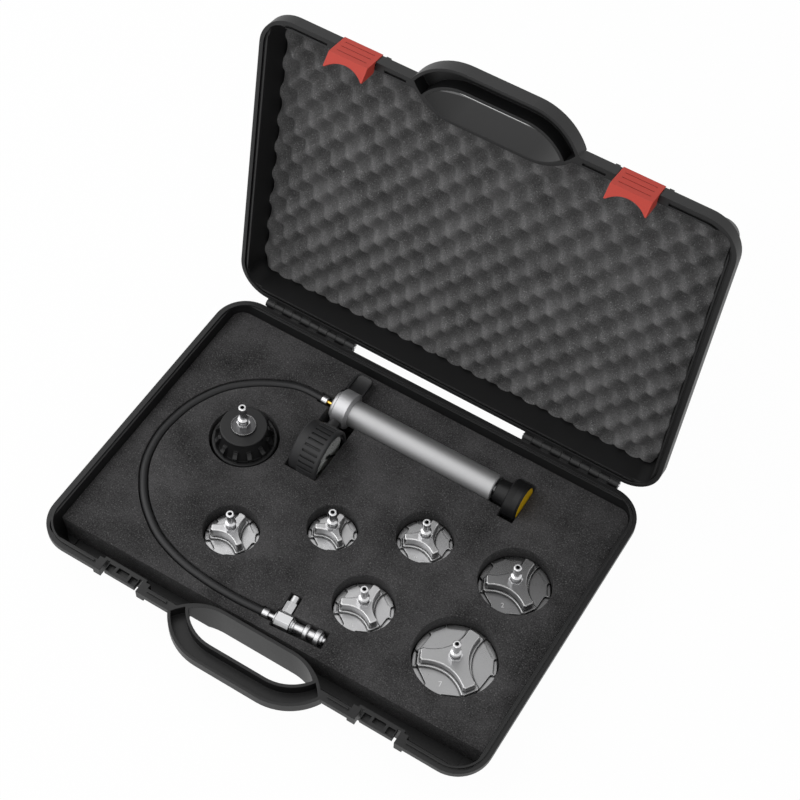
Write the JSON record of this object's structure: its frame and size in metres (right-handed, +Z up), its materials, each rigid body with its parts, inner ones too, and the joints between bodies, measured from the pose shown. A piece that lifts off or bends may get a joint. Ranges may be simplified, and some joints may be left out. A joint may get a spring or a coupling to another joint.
{
  "type": "radiator pressure tester",
  "caption": "Cooling system pressure tester in an open foam-lined carry case: hand pump with gauge, hose with relief valve and quick coupler, and screw-on cap adapters.",
  "frame": {"origin": "centre of the case's underside, on the plane it stands on", "axes": "+X to the right along the handle side, +Y from the handle side to the hinges, +Z up; the lid stands open"},
  "size_m": [0.48, 0.4739, 0.4095],
  "materials": {
    "case_plastic": "satin",
    "latch_plastic": "satin",
    "steel": "satin",
    "block_foam": "matte",
    "egg_foam": "matte",
    "tube_metal": "satin",
    "head_metal": "satin",
    "piston_plastic": "satin",
    "seal_rubber": "matte",
    "knob_plastic": "satin",
    "yellow_plastic": "gloss",
    "guard_rubber": "matte",
    "gauge_metal": "satin",
    "dial_white": "matte",
    "pointer_black": "satin",
    "lens_clear": "gloss",
    "brass_plain": "satin",
    "hose_rubber": "matte",
    "fitting_metal": "satin",
    "cap_metal": "satin",
    "plug_metal": "gloss",
    "adapter_plastic": "satin"
  },
  "bodies": {
    "case_base": {"base_shell": "case_plastic", "hinge_pins": "steel", "base_foam": "block_foam"},
    "lid": {"lid_shell": "case_plastic", "lid_foam": "egg_foam", "latch_pins": "steel"},
    "latch_left": {"latch_left": "latch_plastic"},
    "latch_right": {"latch_right": "latch_plastic"},
    "tester": {"pump_head": "head_metal", "head_tab": "knob_plastic", "pump_tube": "tube_metal", "rod_guide": "tube_metal", "gauge_guard": "guard_rubber", "gauge_case": "gauge_metal", "gauge_dial": "dial_white", "gauge_lens": "lens_clear", "gauge_stem": "gauge_metal", "hose_barb": "brass_plain", "ferrule_pump": "fitting_metal", "hose": "hose_rubber", "ferrule_valve": "fitting_metal", "valve_body": "fitting_metal", "relief_nut": "fitting_metal", "coupler_body": "fitting_metal", "coupler_tip": "fitting_metal"},
    "pump_handle": {"piston": "piston_plastic", "piston_seal": "seal_rubber", "pump_rod": "steel", "pump_knob": "knob_plastic", "knob_disc": "yellow_plastic"},
    "pointer": {"gauge_pointer": "pointer_black"},
    "sleeve": {"coupler_sleeve": "fitting_metal"},
    "relief_pin": {"relief_stem": "fitting_metal"},
    "adapter_black": {"adapter_black_cap": "adapter_plastic", "adapter_black_washer": "plug_metal", "adapter_black_nipple": "plug_metal", "adapter_black_seal": "seal_rubber"},
    "adapter_1": {"adapter_1_cap": "cap_metal", "adapter_1_nipple": "plug_metal", "adapter_1_seal": "seal_rubber"},
    "adapter_2": {"adapter_2_cap": "cap_metal", "adapter_2_nipple": "plug_metal", "adapter_2_seal": "seal_rubber"},
    "adapter_3": {"adapter_3_cap": "cap_metal", "adapter_3_nipple": "plug_metal", "adapter_3_seal": "seal_rubber"},
    "adapter_4": {"adapter_4_cap": "cap_metal", "adapter_4_nipple": "plug_metal", "adapter_4_seal": "seal_rubber"},
    "adapter_5": {"adapter_5_cap": "cap_metal", "adapter_5_nipple": "plug_metal", "adapter_5_seal": "seal_rubber"},
    "adapter_6": {"adapter_6_cap": "cap_metal", "adapter_6_nipple": "plug_metal", "adapter_6_seal": "seal_rubber"}
  },
  "joints": [
    {"name": "lid_hinge", "type": "hinge", "parent": "case_base", "child": "lid", "pos_m": [0, 0.17475, 0.04215], "axis": [1, 0, 0], "range_deg": [0, 100.2], "deforming": ["lid_foam"]},
    {"name": "latch_left_hinge", "type": "hinge", "parent": "lid", "child": "latch_left", "pos_m": [-0.14, 0.24613, 0.37675], "axis": [1, 0, 0], "range_deg": [-100, 0]},
    {"name": "latch_right_hinge", "type": "hinge", "parent": "lid", "child": "latch_right", "pos_m": [0.14, 0.24613, 0.37675], "axis": [1, 0, 0], "range_deg": [-100, 0]},
    {"name": "tester_lift", "type": "slide", "parent": "case_base", "child": "tester", "axis": [0, 0, -1], "range_m": [-0.08, 0]},
    {"name": "pump_stroke", "type": "slide", "parent": "tester", "child": "pump_handle", "axis": [-1, 0, 0], "range_m": [-0.09, 0], "deforming": ["base_foam"]},
    {"name": "pointer_turn", "type": "hinge", "parent": "tester", "child": "pointer", "pos_m": [-0.0535, 0.055, 0.032], "axis": [1, 0, 0], "range_deg": [-270, 0], "stiffness_Nm_per_rad": 0.0004},
    {"name": "sleeve_slide", "type": "slide", "parent": "tester", "child": "sleeve", "axis": [-0.9962, -0.0872, 0], "range_m": [0, 0.002], "stiffness_N_per_m": 600},
    {"name": "relief_push", "type": "slide", "parent": "tester", "child": "relief_pin", "axis": [0.0872, -0.9962, 0], "range_m": [0, 0.002], "stiffness_N_per_m": 500},
    {"name": "adapter_1_lift", "type": "slide", "parent": "case_base", "child": "adapter_1", "axis": [0, 0, -1], "range_m": [-0.08, 0]},
    {"name": "adapter_2_lift", "type": "slide", "parent": "case_base", "child": "adapter_2", "axis": [0, 0, -1], "range_m": [-0.08, 0]},
    {"name": "adapter_3_lift", "type": "slide", "parent": "case_base", "child": "adapter_3", "axis": [0, 0, -1], "range_m": [-0.08, 0]},
    {"name": "adapter_4_lift", "type": "slide", "parent": "case_base", "child": "adapter_4", "axis": [0, 0, -1], "range_m": [-0.08, 0]},
    {"name": "adapter_5_lift", "type": "slide", "parent": "case_base", "child": "adapter_5", "axis": [0, 0, -1], "range_m": [-0.08, 0]},
    {"name": "adapter_6_lift", "type": "slide", "parent": "case_base", "child": "adapter_6", "axis": [0, 0, -1], "range_m": [-0.08, 0]},
    {"name": "adapter_black_lift", "type": "slide", "parent": "case_base", "child": "adapter_black", "axis": [0, 0, -1], "range_m": [-0.08, 0]}
  ]
}
